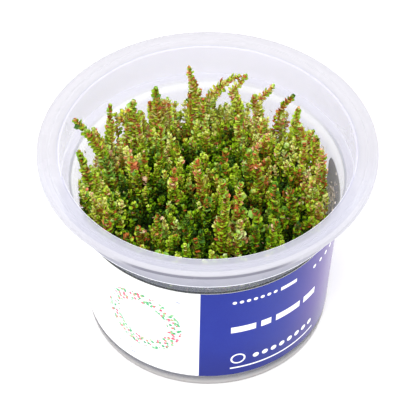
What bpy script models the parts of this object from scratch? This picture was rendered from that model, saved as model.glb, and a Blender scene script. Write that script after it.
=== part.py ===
"""Rotala in a tissue-culture cup: the jar, its label, the gel and the plantlets that fill it.

Metres, +Z up. The origin is the middle of the foot ring, on the surface the cup stands on, and -Y is the front.
"""

import math
import random

import bmesh
import bpy
from mathutils import Vector

MM = 0.001
FULL_TURN = 2.0 * math.pi
GAP = 0.3 * MM

# Cup, an injection moulding with its widest edge at the rim
RIM_RADIUS = 50.0 * MM
RIM_HEIGHT = 65.0 * MM
FOOT_RADIUS = 36.2 * MM
FOOT_RING_WIDTH = 2.6 * MM
FOOT_RECESS = 1.2 * MM
FOOT_ROUND = 0.8 * MM
WALL = 0.9 * MM
WALL_FOOT_RADIUS = 36.75 * MM
WALL_DRAFT = 0.0583
WALL_TOP = 51.2 * MM
FLOOR_THICKNESS = 1.0 * MM
LEDGE_HEIGHT = 53.7 * MM
LEDGE_INNER_RADIUS = 41.0 * MM
COLLAR_FOOT_RADIUS = 44.05 * MM
COLLAR_TOP_RADIUS = 44.6 * MM
FLANGE_HEIGHT = 64.5 * MM
FLANGE_THICKNESS = 1.0 * MM
FLANGE_INNER_RADIUS = 43.9 * MM
RIB_RADIUS = 46.7 * MM
RIB_WIDTH = 0.8 * MM
RIB_RISE = 0.25 * MM
LIP_INNER_RADIUS = 48.0 * MM
LIP_DROP = 2.0 * MM
CUP_SEGMENTS = 48

# Label, in whole steps of the cup's own facets from the front
LABEL_BOTTOM = 4.4 * MM
LABEL_TOP = 45.4 * MM
LABEL_THICKNESS = 0.2 * MM
LABEL_STEPS_LEFT = 11
LABEL_STEPS_RIGHT = 15

# Gel
GEL_TOP = 18.0 * MM

# Plantlets
PLANTLETS = 44
SHOOTS_EACH = 5
TRIES = 60
MAT_RADIUS = 37.9 * MM
MAT_SIDES = 30
MAT_TAPER = 0.96
CROWN_HEIGHT = 45.5 * MM
CROWN_SWAY = 1.5 * MM
SHORTEST_EDGE = 0.6 * MM
SHOOT_SIDES = 5
SHOOT_RADIUS = 1.45 * MM
SHOULDER_RADIUS = 1.15 * MM
TIP_RADIUS = 0.45 * MM
SHOULDER_AT = 0.72
SHOOT_SINK = 1.0 * MM
TIP_LOW = 50.5 * MM
TIP_HIGH = 59.0 * MM
OUTWARD_LEAN = 0.16
STRAY_LEAN = 1.1 * MM
LEAN_CURVE = 1.3
BACK_FROM = 22.0 * MM
BACK_TIP_HIGH = 55.0 * MM
BACK_FALL = 0.45
SEED = 7

# Shoots that stand out of the mat: where each leaves it, then its tip, as x, y and x, y, z in millimetres
TALL_SHOOTS = [
    (-31, 8, -39, 9, 66), (-28, 12, -33.5, 12, 61), (-35.5, 0, -37.5, -1, 64), (-28, 18, -29, 18, 64),
    (-23, 21, -22, 21, 63), (-19, 18, -20.5, 18, 61), (-15, 23, -15.5, 23, 66), (-11.5, 26, -12, 26, 59),
    (-8, 24, -8.5, 24, 60), (-4, 27, -5.5, 27, 71), (-0.5, 25, -1.5, 26, 59), (2, 31, 9, 30, 65),
    (10, 30, 13, 31, 64), (16, 28, 20, 28, 62), (22, 23, 25, 24, 62), (27.5, 15, 27, 15, 66),
    (31, 12, 31, 12, 59), (32.5, 7, 32, 7, 62), (33.5, 2, 33.5, 2, 61), (34, -3, 34.5, -3, 58),
    (-9.5, -5, -9.5, -6, 62), (-3, -3, -3, -3, 62), (1, -6, 1, -6, 64), (14, -1, 14, -1, 63),
    (4.5, -11, 4, -11, 62), (9, -14, 9.5, -14, 63.5), (5, -25, 5.5, -25, 70.5), (13.5, -22, 13.5, -23, 62),
    (18, -26, 20, -26, 60.5), (18.5, -14, 19, -15, 63.5), (23.5, -15, 23.5, -15, 63), (-20, -24, -20, -25, 57),
    (-16, -25, -16, -26, 59), (-6.5, -31, -6.5, -31, 56.5), (1, -31, 1, -32, 55), (21, -28, 21.5, -28, 55),
]


def material(name, colour, roughness):
    """A plain Principled finish of one colour."""
    finish = bpy.data.materials.new(name)
    finish.use_nodes = True
    shader = finish.node_tree.nodes["Principled BSDF"]
    shader.inputs["Base Color"].default_value = (*colour, 1.0)
    shader.inputs["Roughness"].default_value = roughness
    shader.inputs["Metallic"].default_value = 0.0
    return finish


def place(name, shape, finish, smooth=False):
    """Make an object of a bmesh and put it in the scene."""
    bmesh.ops.recalc_face_normals(shape, faces=shape.faces[:])
    mesh = bpy.data.meshes.new(name)
    shape.to_mesh(mesh)
    shape.free()
    mesh.materials.append(finish)
    if smooth:
        mesh.shade_smooth()
        mesh.set_sharp_from_angle(angle=math.radians(35.0))
    piece = bpy.data.objects.new(name, mesh)
    bpy.context.scene.collection.objects.link(piece)
    return piece


def turned(name, profile, finish):
    """Spin an outline of (radius, height) points, from the axis round to the axis, into one closed solid."""
    shape = bmesh.new()
    points = [shape.verts.new((0.0, -radius, height)) for radius, height in profile]
    edges = [shape.edges.new(pair) for pair in zip(points, points[1:])]
    bmesh.ops.spin(shape, geom=points + edges, cent=(0, 0, 0), axis=(0, 0, 1), dvec=(0, 0, 0),
                   angle=FULL_TURN, steps=CUP_SEGMENTS, use_merge=True)
    bmesh.ops.remove_doubles(shape, verts=shape.verts[:], dist=0.001 * MM)
    return place(name, shape, finish, smooth=True)


def wall_radius(height):
    """Outer radius of the cup's tapered wall."""
    return WALL_FOOT_RADIUS + (height - FOOT_ROUND) * WALL_DRAFT


def cup_profile():
    """The cup's section: up its outer side from the foot, over the lip and down the inside to the floor."""
    floor = FOOT_RECESS + FLOOR_THICKNESS
    floor_round = 0.7 * MM
    ledge_under = LEDGE_HEIGHT - WALL
    flange_under = FLANGE_HEIGHT - FLANGE_THICKNESS
    lip_low = RIM_HEIGHT - LIP_DROP
    lip_round = 0.5 * MM
    rib_side = 0.5 * RIB_WIDTH
    return [
        (0.0, FOOT_RECESS),
        (FOOT_RADIUS - FOOT_RING_WIDTH, FOOT_RECESS),
        (FOOT_RADIUS - FOOT_RING_WIDTH, 0.0),
        (FOOT_RADIUS, 0.0),
        (WALL_FOOT_RADIUS, FOOT_ROUND),
        (wall_radius(WALL_TOP), WALL_TOP),
        (wall_radius(WALL_TOP) + WALL, ledge_under),
        (COLLAR_FOOT_RADIUS - lip_round, ledge_under),
        (COLLAR_FOOT_RADIUS, ledge_under + lip_round),
        (COLLAR_TOP_RADIUS, flange_under),
        (LIP_INNER_RADIUS + lip_round, flange_under),
        (RIM_RADIUS - 1.5 * lip_round, lip_low),
        (RIM_RADIUS, lip_low + lip_round),
        (RIM_RADIUS, RIM_HEIGHT - lip_round),
        (RIM_RADIUS - lip_round, RIM_HEIGHT),
        (LIP_INNER_RADIUS + lip_round, RIM_HEIGHT),
        (LIP_INNER_RADIUS, FLANGE_HEIGHT),
        (RIB_RADIUS + rib_side, FLANGE_HEIGHT),
        (RIB_RADIUS, FLANGE_HEIGHT + RIB_RISE),
        (RIB_RADIUS - rib_side, FLANGE_HEIGHT),
        (FLANGE_INNER_RADIUS, FLANGE_HEIGHT),
        (COLLAR_TOP_RADIUS - WALL - 0.15 * MM, FLANGE_HEIGHT - lip_round),
        (COLLAR_FOOT_RADIUS - WALL - 0.1 * MM, LEDGE_HEIGHT),
        (LEDGE_INNER_RADIUS, LEDGE_HEIGHT),
        (wall_radius(WALL_TOP) - 0.3 * MM, LEDGE_HEIGHT - 1.2 * MM),
        (wall_radius(WALL_TOP) - WALL, WALL_TOP - 0.2 * MM),
        (wall_radius(floor) - WALL, floor + floor_round),
        (wall_radius(floor) - WALL - floor_round, floor),
        (0.0, floor),
    ]


def make_cup():
    turned("cup", cup_profile(), material("milky plastic", (0.86, 0.86, 0.90), 0.30))


def make_label():
    """A strip bent round the wall, a gap's width off it."""
    shape = bmesh.new()
    rings = []
    for step in range(-LABEL_STEPS_LEFT, LABEL_STEPS_RIGHT + 1):
        turn = FULL_TURN * step / CUP_SEGMENTS
        across, ahead = math.sin(turn), -math.cos(turn)
        section = [(GAP, LABEL_BOTTOM), (GAP + LABEL_THICKNESS, LABEL_BOTTOM),
                   (GAP + LABEL_THICKNESS, LABEL_TOP), (GAP, LABEL_TOP)]
        ring = []
        for off, height in section:
            radius = wall_radius(height) + off
            ring.append(shape.verts.new((radius * across, radius * ahead, height)))
        rings.append(ring)
    for near, far in zip(rings, rings[1:]):
        for k in range(4):
            shape.faces.new((near[k], near[(k + 1) % 4], far[(k + 1) % 4], far[k]))
    shape.faces.new(rings[0])
    shape.faces.new(rings[-1])
    place("label", shape, material("printed label", (0.10, 0.12, 0.42), 0.35), smooth=True)


def make_gel():
    """The set gel, a gap's width off the cup's floor and wall."""
    bottom = FOOT_RECESS + FLOOR_THICKNESS + GAP
    corner = 1.0 * MM
    inset = WALL + GAP
    profile = [
        (0.0, bottom),
        (wall_radius(bottom) - inset - corner, bottom),
        (wall_radius(bottom + corner) - inset, bottom + corner),
        (wall_radius(GEL_TOP) - inset, GEL_TOP),
        (0.0, GEL_TOP),
    ]
    turned("gel", profile, material("nutrient gel", (0.62, 0.60, 0.50), 0.15))


def spiral(count, radius, chance, stray):
    """Points spread evenly over a disc, as seeds sit in a sunflower, each strayed a little."""
    golden = math.pi * (3.0 - math.sqrt(5.0))
    points = []
    for k in range(count):
        far = radius * math.sqrt((k + 0.5) / count)
        spot = Vector((far * math.cos(golden * k), far * math.sin(golden * k)))
        points.append(spot + Vector((chance.uniform(-stray, stray), chance.uniform(-stray, stray))))
    return points


def clipped(outline, middle, outward):
    """Keep the part of a convex outline that lies behind the line through middle, square to outward."""
    kept = []
    for here, there in zip(outline, outline[1:] + outline[:1]):
        side_here = (here - middle).dot(outward)
        side_there = (there - middle).dot(outward)
        if side_here <= 0.0:
            kept.append(here)
        if (side_here < 0.0 < side_there) or (side_there < 0.0 < side_here):
            kept.append(here.lerp(there, side_here / (side_here - side_there)))
    return kept


def cell(seed, seeds):
    """The ground one plantlet takes up: nearer to its own seed than to any other, less half a gap."""
    step = FULL_TURN / MAT_SIDES
    outline = [MAT_RADIUS * Vector((math.cos(k * step), math.sin(k * step))) for k in range(MAT_SIDES)]
    for other in seeds:
        if other is not seed:
            away = (other - seed).normalized()
            outline = clipped(outline, (seed + other) / 2.0 - away * 0.6 * GAP, away)
    thinned = []
    for point in outline:
        if not thinned or (point - thinned[-1]).length > SHORTEST_EDGE:
            thinned.append(point)
    if (thinned[0] - thinned[-1]).length < SHORTEST_EDGE:
        thinned.pop()
    return thinned


def drawn_in(foot, seed, outline, margin):
    """Move a shoot's foot towards the plantlet's middle until it is inside the outline by a margin."""
    for _ in range(40):
        room = min(-(foot - here).dot(Vector((there.y - here.y, here.x - there.x)).normalized())
                   for here, there in zip(outline, outline[1:] + outline[:1]))
        if room >= margin:
            break
        foot = foot.lerp(seed, 0.08)
    return foot


def shoot_at(shoot, height):
    """Centre and radius of a shoot at a height: it bends outward as it climbs and narrows to its tip."""
    foot, tip, top, crown = shoot
    climb = (height - crown) / (top - crown)
    climb = min(max(climb, 0.0), 1.0)
    centre = foot + (tip - foot) * climb ** LEAN_CURVE
    if climb < SHOULDER_AT:
        radius = SHOOT_RADIUS + (SHOULDER_RADIUS - SHOOT_RADIUS) * climb / SHOULDER_AT
    else:
        radius = SHOULDER_RADIUS + (TIP_RADIUS - SHOULDER_RADIUS) * (climb - SHOULDER_AT) / (1.0 - SHOULDER_AT)
    return centre, radius


def cup_room(height):
    """Inner radius of the cup at a height, inside its flat facets."""
    radius = COLLAR_FOOT_RADIUS if height > LEDGE_HEIGHT + GAP else wall_radius(min(height, WALL_TOP))
    return radius * math.cos(0.5 * FULL_TURN / CUP_SEGMENTS) - WALL - 0.1 * MM


def clear(shoot, others):
    """Whether a shoot keeps a gap to the cup and to every other one at each height that both reach."""
    height = shoot[3]
    while height <= shoot[2]:
        centre, radius = shoot_at(shoot, height)
        if centre.length + radius + GAP > cup_room(height):
            return False
        height += 1.0 * MM
    for other in others:
        if (shoot[0] - other[0]).length > 20.0 * MM:
            continue
        height = max(shoot[3], other[3])
        while height <= min(shoot[2], other[2]):
            centre, radius = shoot_at(shoot, height)
            other_centre, other_radius = shoot_at(other, height)
            if (centre - other_centre).length < radius + other_radius + GAP:
                return False
            height += 1.0 * MM
    return True


def stand(shoot, home, planned, placed):
    """Keep a shoot if it is clear of the cup and of the others, upright rather than leaning if it must be."""
    foot, tip, top, crown = shoot
    for slack in (1.0, 0.6, 0.3, 0.0):
        eased = (foot, foot + (tip - foot) * slack, top, crown)
        if clear(eased, placed):
            planned[home].append(eased)
            placed.append(eased)
            return True
    return False


def cut_short(shoot):
    """A short shoot at the back ends lower on its own line, where the mat falls away from the tall ones."""
    foot, tip, top, crown = shoot
    level = BACK_TIP_HIGH - BACK_FALL * (tip.y - BACK_FROM)
    if tip.y < BACK_FROM or top >= TIP_HIGH or top <= level:
        return shoot
    share = ((level - crown) / (top - crown)) ** LEAN_CURVE
    return foot, foot + (tip - foot) * share, level, crown


def plan_shoots(seeds, outlines, crowns, chance):
    """Stand every shoot of the mat in its plantlet: the tall ones first, then the rest between them."""
    planned = [[] for _ in seeds]
    placed = []
    margin = SHOOT_RADIUS + 0.15 * MM
    for row in TALL_SHOOTS:
        foot, tip, top = Vector(row[:2]) * MM, Vector(row[2:4]) * MM, row[4] * MM
        home = min(range(len(seeds)), key=lambda k: (foot - seeds[k]).length)
        foot = drawn_in(foot, seeds[home], outlines[home], margin)
        stand((foot, tip, top, crowns[home]), home, planned, placed)
    for home, seed in enumerate(seeds):
        reach = max((point - seed).length for point in outlines[home])
        for _ in range(TRIES):
            if len(planned[home]) >= SHOOTS_EACH:
                break
            way = chance.uniform(0.0, FULL_TURN)
            foot = seed + reach * math.sqrt(chance.random()) * Vector((math.cos(way), math.sin(way)))
            foot = drawn_in(foot, seed, outlines[home], margin)
            top = chance.uniform(TIP_LOW, TIP_HIGH)
            lean = foot * (OUTWARD_LEAN * (foot.length / MAT_RADIUS) * (top - crowns[home]) / MAT_RADIUS)
            stray = Vector((chance.uniform(-STRAY_LEAN, STRAY_LEAN), chance.uniform(-STRAY_LEAN, STRAY_LEAN)))
            stand((foot, foot + lean + stray, top, crowns[home]), home, planned, placed)
    return [[cut_short(shoot) for shoot in shoots] for shoots in planned]


def ring(shape, centre, radius, height, turn):
    """One cross-section of a shoot."""
    step = FULL_TURN / SHOOT_SIDES
    return [shape.verts.new((centre.x + radius * math.cos(turn + k * step),
                             centre.y + radius * math.sin(turn + k * step), height)) for k in range(SHOOT_SIDES)]


def add_shoot(shape, shoot, turn):
    """A closed tapering prism from just under the crown to the shoot's tip."""
    foot, tip, top, crown = shoot
    shoulder = crown + (top - crown) * SHOULDER_AT
    rings = [ring(shape, foot, SHOOT_RADIUS, crown - SHOOT_SINK, turn)]
    for height in (shoulder, top):
        centre, radius = shoot_at(shoot, height)
        rings.append(ring(shape, centre, radius, height, turn))
    for low, high in zip(rings, rings[1:]):
        for k in range(SHOOT_SIDES):
            following = (k + 1) % SHOOT_SIDES
            shape.faces.new((low[k], low[following], high[following], high[k]))
    shape.faces.new(rings[0])
    shape.faces.new(rings[-1])


def make_plantlet(name, outline, shoots, crown, finish, chance):
    """One plantlet: its packed stems as a tapered block on the gel, with its shoots united to the top of it."""
    block = bmesh.new()
    low = [block.verts.new((point.x * MAT_TAPER, point.y * MAT_TAPER, GEL_TOP + GAP)) for point in outline]
    high = [block.verts.new((point.x, point.y, crown)) for point in outline]
    for k in range(len(outline)):
        following = (k + 1) % len(outline)
        block.faces.new((low[k], low[following], high[following], high[k]))
    block.faces.new(low)
    block.faces.new(high)
    piece = place(name, block, finish)
    guide_shape = bmesh.new()
    for shoot in shoots:
        add_shoot(guide_shape, shoot, chance.uniform(0.0, FULL_TURN))
    guide = place(name + "_shoots", guide_shape, finish)
    guide.hide_render = True
    guide.display_type = "WIRE"
    union = piece.modifiers.new("shoots", "BOOLEAN")
    union.operation = "UNION"
    union.solver = "EXACT"
    union.object = guide


def make_plantlets():
    chance = random.Random(SEED)
    seeds = spiral(PLANTLETS, MAT_RADIUS, chance, 0.6 * MM)
    outlines = [cell(seed, seeds) for seed in seeds]
    crowns = [CROWN_HEIGHT + chance.uniform(-CROWN_SWAY, CROWN_SWAY) for _ in seeds]
    planned = plan_shoots(seeds, outlines, crowns, chance)
    greens = [material(f"rotala leaf {k + 1}", colour, 0.5) for k, colour in enumerate(
        [(0.16, 0.26, 0.04), (0.22, 0.33, 0.05), (0.12, 0.21, 0.05)])]
    for k, outline in enumerate(outlines):
        make_plantlet(f"plantlet_{k + 1:02d}", outline, planned[k], crowns[k], greens[k % len(greens)], chance)


for old in list(bpy.data.objects):
    bpy.data.objects.remove(old, do_unlink=True)
make_cup()
make_label()
make_gel()
make_plantlets()
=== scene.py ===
import math
import random

import bmesh
import bpy
import numpy as np
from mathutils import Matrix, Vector


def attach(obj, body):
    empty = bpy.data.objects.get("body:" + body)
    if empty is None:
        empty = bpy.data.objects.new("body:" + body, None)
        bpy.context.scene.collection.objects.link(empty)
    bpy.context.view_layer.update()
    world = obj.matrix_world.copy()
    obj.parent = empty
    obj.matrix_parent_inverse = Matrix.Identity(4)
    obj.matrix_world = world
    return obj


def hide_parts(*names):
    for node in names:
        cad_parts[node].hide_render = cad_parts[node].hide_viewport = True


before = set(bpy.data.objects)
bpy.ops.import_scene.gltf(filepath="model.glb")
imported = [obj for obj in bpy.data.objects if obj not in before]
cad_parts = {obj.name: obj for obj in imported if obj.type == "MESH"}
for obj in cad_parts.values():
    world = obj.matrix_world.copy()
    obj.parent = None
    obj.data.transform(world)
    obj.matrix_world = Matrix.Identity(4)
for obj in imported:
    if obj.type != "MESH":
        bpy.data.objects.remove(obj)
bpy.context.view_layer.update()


# The cup: a tissue-culture cup of natural polypropylene, clear in its thin wall and milky where it is
# thick. It is moulded in one shot: a ring to stand on, a tapered wall, a ledge and a collar for the
# lid, and a flat flange with a fine rib and a lip turned down round its edge.

MM = 0.001
FULL_TURN = 2.0 * math.pi
WALL_FOOT_RADIUS = 36.75
WALL_FOOT_HEIGHT = 0.8
WALL_DRAFT = 0.0583
WALL = 0.9
LEDGE_LEVEL = 53.7
FLANGE_LEVEL = 64.5
CUP_AROUND = 160
SHARP = math.radians(38.0)

# The section of the cup in millimetres: radius, height, and how far its corner is rounded
CUP_SECTION = [
    (0.0, 0.95, 0.0), (0.9, 0.95, 0.15), (1.3, 1.2, 0.2),
    (33.6, 1.2, 0.3), (33.6, 0.0, 0.3), (36.4, 0.0, 0.3), (WALL_FOOT_RADIUS, WALL_FOOT_HEIGHT, 0.4),
    (39.69, 51.2, 0.6), (40.59, 52.8, 0.5), (44.0, 52.8, 0.5), (44.6, 63.5, 0.4),
    (48.4, 63.5, 0.3), (48.9, 63.0, 0.3), (50.0, 63.0, 0.45), (50.0, 65.0, 0.5),
    (48.9, 65.0, 0.5), (47.6, 64.55, 0.4), (47.1, FLANGE_LEVEL, 0.15), (46.7, 64.7, 0.2),
    (46.3, FLANGE_LEVEL, 0.15), (43.35, FLANGE_LEVEL, 0.3), (43.05, LEDGE_LEVEL, 0.25),
    (41.0, LEDGE_LEVEL, 0.35), (39.39, 52.5, 0.5), (38.79, 51.0, 0.5),
    (35.93, 2.2, 0.8), (0.0, 2.2, 0.0),
]


def softened(corners, steps=5):
    """An outline with its corners rounded, and a point beyond each rounding to keep the flats flat."""
    outline = [Vector(corners[0][:2])]
    for before, here, after in zip(corners, corners[1:], corners[2:]):
        spot = Vector(here[:2])
        back = Vector(before[:2]) - spot
        ahead = Vector(after[:2]) - spot
        soft = min(here[2], 0.42 * back.length, 0.42 * ahead.length)
        start = spot + back.normalized() * soft
        end = spot + ahead.normalized() * soft
        if back.length > 3.4 * soft:
            outline.append(spot + back.normalized() * soft * 1.6)
        for step in range(steps + 1):
            share = step / steps
            outline.append(start * (1 - share) ** 2 + spot * 2 * share * (1 - share) + end * share ** 2)
        if ahead.length > 3.4 * soft:
            outline.append(spot + ahead.normalized() * soft * 1.6)
    outline.append(Vector(corners[-1][:2]))
    return outline


def piece_of(name, shape, *finishes):
    """An object of a bmesh, smooth but for its sharp edges, riding on the part's one body."""
    bmesh.ops.recalc_face_normals(shape, faces=shape.faces[:])
    for edge in shape.edges:
        edge.smooth = edge.calc_face_angle(0.0) < SHARP
    mesh = bpy.data.meshes.new(name)
    shape.to_mesh(mesh)
    shape.free()
    mesh.shade_smooth()
    for finish_used in finishes:
        mesh.materials.append(finish_used)
    made = bpy.data.objects.new(name, mesh)
    bpy.context.scene.collection.objects.link(made)
    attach(made, "root")
    return made


def turned(outline, around):
    """Spin an outline of (radius, height) points in millimetres into one closed shape."""
    shape = bmesh.new()
    rings = []
    for radius, height in outline:
        count = around if radius > 0.001 else 1
        rings.append([shape.verts.new((radius * MM * math.sin(FULL_TURN * k / count),
                                       -radius * MM * math.cos(FULL_TURN * k / count),
                                       height * MM)) for k in range(count)])
    for low, high in zip(rings, rings[1:]):
        for k in range(around):
            following = k + 1
            corners = [low[k % len(low)], low[following % len(low)],
                       high[following % len(high)], high[k % len(high)]]
            shape.faces.new(list(dict.fromkeys(corners)))
    return shape


class Wire:
    """One socket in a finish's nodes: sums on wires become Math nodes, any other node comes from node()."""

    def __init__(self, tree, socket):
        self.tree = tree
        self.socket = socket

    def node(self, kind, settings, sockets, out=0):
        """Add a node: its settings first, then what each of its sockets holds or is fed by."""
        made = self.tree.nodes.new(kind)
        for name, value in settings.items():
            if name == "stops":
                made.color_ramp.elements[0].position = value[0][0]
                made.color_ramp.elements[1].position = value[-1][0]
                for spot, _ in value[1:-1]:
                    made.color_ramp.elements.new(spot)
                for element, (_, colour) in zip(made.color_ramp.elements, value):
                    element.color = (*colour, 1.0)
            else:
                setattr(made, name, value)
        for name, value in sockets.items():
            if isinstance(value, Wire):
                self.tree.links.new(value.socket, made.inputs[name])
            else:
                made.inputs[name].default_value = value
        return Wire(self.tree, made.outputs[out])

    def sum_of(self, operation, first, second=0.0):
        """A Math node on wires or numbers."""
        return self.node("ShaderNodeMath", {"operation": operation}, {0: first, 1: second})

    def __add__(self, other):
        return self.sum_of("ADD", self, other)

    def __radd__(self, other):
        return self.sum_of("ADD", other, self)

    def __sub__(self, other):
        return self.sum_of("SUBTRACT", self, other)

    def __rsub__(self, other):
        return self.sum_of("SUBTRACT", other, self)

    def __mul__(self, other):
        return self.sum_of("MULTIPLY", self, other)

    def __rmul__(self, other):
        return self.sum_of("MULTIPLY", other, self)

    def __abs__(self):
        return self.sum_of("ABSOLUTE", self)

    def most(self, other):
        """The larger of this and another."""
        return self.sum_of("MAXIMUM", self, other)

    def rising(self, low, high):
        """0 below low, 1 above high, and a soft step between."""
        return self.node("ShaderNodeMapRange", {"interpolation_type": "SMOOTHSTEP"},
                         {"Value": self, "From Min": low, "From Max": high})

    def near(self, middle, reach, edge):
        """1 within reach of a value, falling to 0 over edge beyond it."""
        return 1.0 - abs(self - middle).rising(reach, reach + edge)

    def noise(self, scale, detail, stretch=(1.0, 1.0, 1.0)):
        """Noise from 0 to 1 over this place, scale cells to the metre, stretched along an axis."""
        spread = self.node("ShaderNodeVectorMath", {"operation": "MULTIPLY"}, {0: self, 1: stretch})
        return self.node("ShaderNodeTexNoise", {}, {"Vector": spread, "Scale": scale, "Detail": detail})

    def blend(self, first, second):
        """The first colour where this is 0, the second where it is 1."""
        colours = {0: self}
        for slot_at, colour in ((6, first), (7, second)):
            colours[slot_at] = colour if isinstance(colour, Wire) else (*colour, 1.0)
        return self.node("ShaderNodeMix", {"data_type": "RGBA"}, colours, out=2)

    def into(self, shader, name):
        """Feed this to one of the shader's sockets."""
        self.tree.links.new(self.socket, shader.inputs[name])

    def bumps(self, shader, depth, strength=1.0):
        """Raise the surface by this height, times depth in metres."""
        self.node("ShaderNodeBump", {}, {"Height": self, "Distance": depth, "Strength": strength}).into(
            shader, "Normal")


def finish(name, **fixed):
    """A new finish with its fixed values set: the material, its shader, and the place on the part."""
    made = bpy.data.materials.new(name)
    made.use_nodes = True
    tree = made.node_tree
    shader = tree.nodes["Principled BSDF"]
    for socket, value in fixed.items():
        shader.inputs[socket.replace("_", " ")].default_value = value
    place = Wire(tree, None).node("ShaderNodeTexCoord", {}, {}, out="Object")
    return made, shader, place


def apart(place):
    """How far from the cup's axis a place is, and how high, in metres."""
    flat = place.node("ShaderNodeVectorMath", {"operation": "MULTIPLY"}, {0: place, 1: (1.0, 1.0, 0.0)})
    radius = flat.node("ShaderNodeVectorMath", {"operation": "LENGTH"}, {0: flat}, out=1)
    height = place.node("ShaderNodeSeparateXYZ", {}, {0: place}, out=2)
    return radius, height


plastic, shader, place = finish("natural_polypropylene", IOR=1.49, Specular_IOR_Level=0.2)
radius, height = apart(place)
clouds = place.noise(90.0, 3.0)
streaks = place.noise(900.0, 3.0, (1.0, 1.0, 0.07))

# The far side, and the left and right: masks for the plastic's painted light and shade, since light falls
# through the cup there, and off it in front
behind = place.node("ShaderNodeSeparateXYZ", {}, {0: place}, out=1)
away = behind.rising(-26.0 * MM, 2.0 * MM)
beside = 1.0 - abs(behind).rising(8.0 * MM, 30.0 * MM)

# From the foot up: the ring it stands on, a painted contact shadow along its bottom edge, the wall's inner
# side, a painted shadow along the label's top edge in front, and the mist above it
foot = 1.0 - height.rising(1.0 * MM, 4.4 * MM)
# A darker grey along the bottom edge: painted contact shadow
sole_shadow = 1.0 - height.rising(0.4 * MM, 1.8 * MM)
within = 1.0 - (radius - height * WALL_DRAFT).rising(36.0 * MM, 36.4 * MM)
# A near-black line just over the label's top edge, in front only: painted shadow
label_top_shadow = height.near(45.3 * MM, 0.15 * MM, 0.35 * MM) * (1.0 - away)
mist = height.near(47.0 * MM, 3.5 * MM, 1.0 * MM) * (streaks.rising(0.50, 0.75) * 0.5 + 0.5)

# The thick plastic over the wall: the step under the ledge and the ledge, and a painted highlight along the
# collar's lower corner in front
thick = height.rising(51.5 * MM, 53.0 * MM)
step = radius.near(40.0 * MM, 1.0 * MM, 0.3 * MM) * height.near(52.4 * MM, 0.9 * MM, 0.4 * MM)
ledge = radius.near(42.0 * MM, 1.5 * MM, 0.5 * MM) * height.near(53.2 * MM, 0.6 * MM, 0.3 * MM)
# A near-white line along the collar's lower corner, in front only: painted highlight
corner_highlight = radius.near(44.0 * MM, 0.25 * MM, 0.3 * MM) * height.near(52.9 * MM, 0.25 * MM, 0.3 * MM)
corner_highlight = corner_highlight * (1.0 - away)
ledge_edge = radius.near(40.7 * MM, 0.1 * MM, 0.4 * MM) * height.near(53.4 * MM, 0.3 * MM, 0.5 * MM)

# The flange: its inner edge at the mouth, with a painted highlight in front, its outer lip, and the lip's
# turned-down skirt, with a painted shadow in front
flange = radius.rising(43.5 * MM, 44.3 * MM)
top = height.rising(63.8 * MM, 64.3 * MM)
# A near-white line on the mouth's edge, in front only: painted highlight
mouth_highlight = (1.0 - radius.rising(43.4 * MM, 43.75 * MM)) * height.rising(63.6 * MM, 64.2 * MM) * (1.0 - away)
lip = radius.rising(48.2 * MM, 48.8 * MM) * (1.0 - away)
# A dark band on the skirt's lower face in front: painted shadow under the lip
skirt_shadow = radius.rising(49.55 * MM, 49.8 * MM) * (1.0 - height.rising(64.1 * MM, 64.7 * MM))
skirt_shadow = skirt_shadow * (1.0 - behind.rising(-46.5 * MM, -42.0 * MM))
# Dark lines along the flange's inner edge on the far side and the ledge's edge at the left and right: painted
# shade
rings = (radius.near(44.3 * MM, 0.1 * MM, 0.4 * MM) * top * away * 0.5).most(ledge_edge * beside)

clear = clouds.blend((0.34, 0.355, 0.42), (0.37, 0.385, 0.45))
# Tints that differ between the far side and the front, here and below, are painted light and shade, not a
# change in the plastic
tint = away.blend(clear, within.blend((0.20, 0.19, 0.22), (0.20, 0.17, 0.52)))
for part, part_tint in (
        (thick, away.blend((0.53, 0.53, 0.64), (0.58, 0.56, 0.80))),
        (flange, away.blend((0.53, 0.53, 0.60), (0.434, 0.425, 0.464))),
        (lip, (0.548, 0.544, 0.585)), (skirt_shadow, (0.17, 0.17, 0.21)), (mouth_highlight, (0.95, 0.95, 1.0)),
        (ledge, away.blend((0.38, 0.38, 0.43), (0.34, 0.33, 0.44))), (step, (0.34, 0.34, 0.39)),
        (foot, (0.66, 0.64, 0.62)), (sole_shadow, (0.36, 0.345, 0.34)), (label_top_shadow, (0.03, 0.035, 0.04)),
        (corner_highlight, (0.95, 0.96, 1.0)), (rings, (0.28, 0.29, 0.35))):
    tint = part.blend(tint, part_tint)
tint.into(shader, "Base Color")

solid = foot * 0.3 + sole_shadow * 0.25
for part, share in ((lip, 0.2), (corner_highlight, 0.6), (rings, 0.25), (skirt_shadow, 0.3), (mouth_highlight, 0.3), (label_top_shadow, 0.3)):
    solid = solid.most(part * share)
milky = thick * (away * 0.01 + 0.03) + ledge * away * 0.09 - away * 0.08 + 0.30
(flange * 0.22 + clouds * 0.02 + mist * 0.06 + solid + milky).into(shader, "Alpha")
(clouds * 0.12 + 0.22).into(shader, "Roughness")
(place.noise(260.0, 2.0) + streaks * 0.08).bumps(shader, 0.01 * MM, 0.15)
cup = piece_of("cup_shell", turned(softened(CUP_SECTION), CUP_AROUND), plastic)
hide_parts("cup")


# The label: a strip of coated paper stuck a little over half way round the wall, white in front to
# the left and blue to the right, with grey paper behind. Plain rules and dots stand on the blue, and
# a ring of small dots over ripples on the white.

LABEL_LOW = 4.7
LABEL_HIGH = 44.8
LABEL_THICK = 0.15
LABEL_OFF = 0.05
LABEL_FROM = -82.5
LABEL_TO = 111.0
LABEL_STEP = 1.5
LABEL_CORNER = 3.0
RISE_FROM = 45.0
RISE = 3.2
BLUE_FROM = -2.93
BLUE_LEAN = 0.02
LABEL_RADIUS = 38.7
PRINT_EDGE = 0.12
SPOTS_TO_METRE = 900.0

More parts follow.
